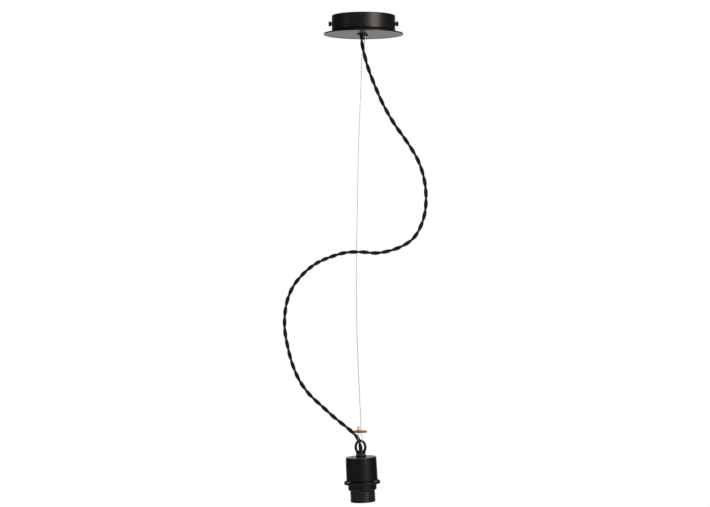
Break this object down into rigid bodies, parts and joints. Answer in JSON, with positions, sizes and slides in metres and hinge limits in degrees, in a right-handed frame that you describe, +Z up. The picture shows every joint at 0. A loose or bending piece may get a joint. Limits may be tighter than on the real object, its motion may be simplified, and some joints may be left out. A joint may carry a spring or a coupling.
{
  "type": "pendant light",
  "caption": "Pendant light: black ceiling rose, loose twisted cord and steel suspension wire, wire lock, loop and a screw lampholder with shade ring.",
  "frame": {"origin": "middle of the face of the rose that lies against the ceiling", "axes": "+Z up into the ceiling, +X to the right and +Y away from the viewer in the front view"},
  "size_m": [0.2307, 0.126, 0.7712],
  "materials": {
    "black_paint": "satin black paint on sheet metal",
    "black_casting": "black painted casting",
    "black_resin": "moulded black resin",
    "black_nylon": "black nylon",
    "white_nylon": "natural nylon",
    "black_fibre": "vulcanised fibre",
    "white_ceramic": "glazed porcelain, weighed as plastic",
    "brass": "plain brass",
    "plated_brass": "nickel plated brass",
    "spring_bronze": "spring bronze strip",
    "steel": "bright steel",
    "black_braid": "two fabric covered strands twisted together",
    "brown_core": "brown insulation",
    "blue_core": "blue insulation"
  },
  "bodies": {
    "root": {"ceiling_cup": "black_paint", "cover_plate": "black_paint", "side_screw_left": "black_paint", "side_screw_right": "black_paint", "side_nut_left": "steel", "side_nut_right": "steel", "cord_bush": "black_nylon", "cord_bush_nut": "black_nylon", "nipple_washer": "black_fibre", "wire_nipple": "plated_brass", "nipple_nut": "brass", "wire_stop": "steel", "terminal_block": "white_nylon", "live_barrel": "brass", "neutral_barrel": "brass", "live_supply_screw": "steel", "live_lamp_screw": "steel", "neutral_supply_screw": "steel", "neutral_lamp_screw": "steel", "block_screw": "steel", "earth_washer": "steel", "earth_screw": "brass", "rose_live_core": "brown_core", "rose_neutral_core": "blue_core", "twisted_cord": "black_braid", "suspension_wire": "steel", "wire_lock_disc": "brass", "lock_screw": "steel", "wire_end_ferrule": "steel", "lamp_loop": "black_casting", "loop_nut": "steel", "cord_stop": "white_nylon", "cord_stop_screw": "steel", "holder_cap": "black_resin", "contact_carrier": "white_ceramic", "live_terminal": "brass", "neutral_terminal": "brass", "live_terminal_screw": "steel", "neutral_terminal_screw": "steel", "live_rivet": "brass", "neutral_rivet": "brass", "centre_contact": "spring_bronze", "side_contact": "spring_bronze", "screw_shell": "brass", "threaded_skirt": "black_resin", "shade_ring": "black_resin", "holder_live_core": "brown_core", "holder_neutral_core": "blue_core"}
  },
  "joints": []
}
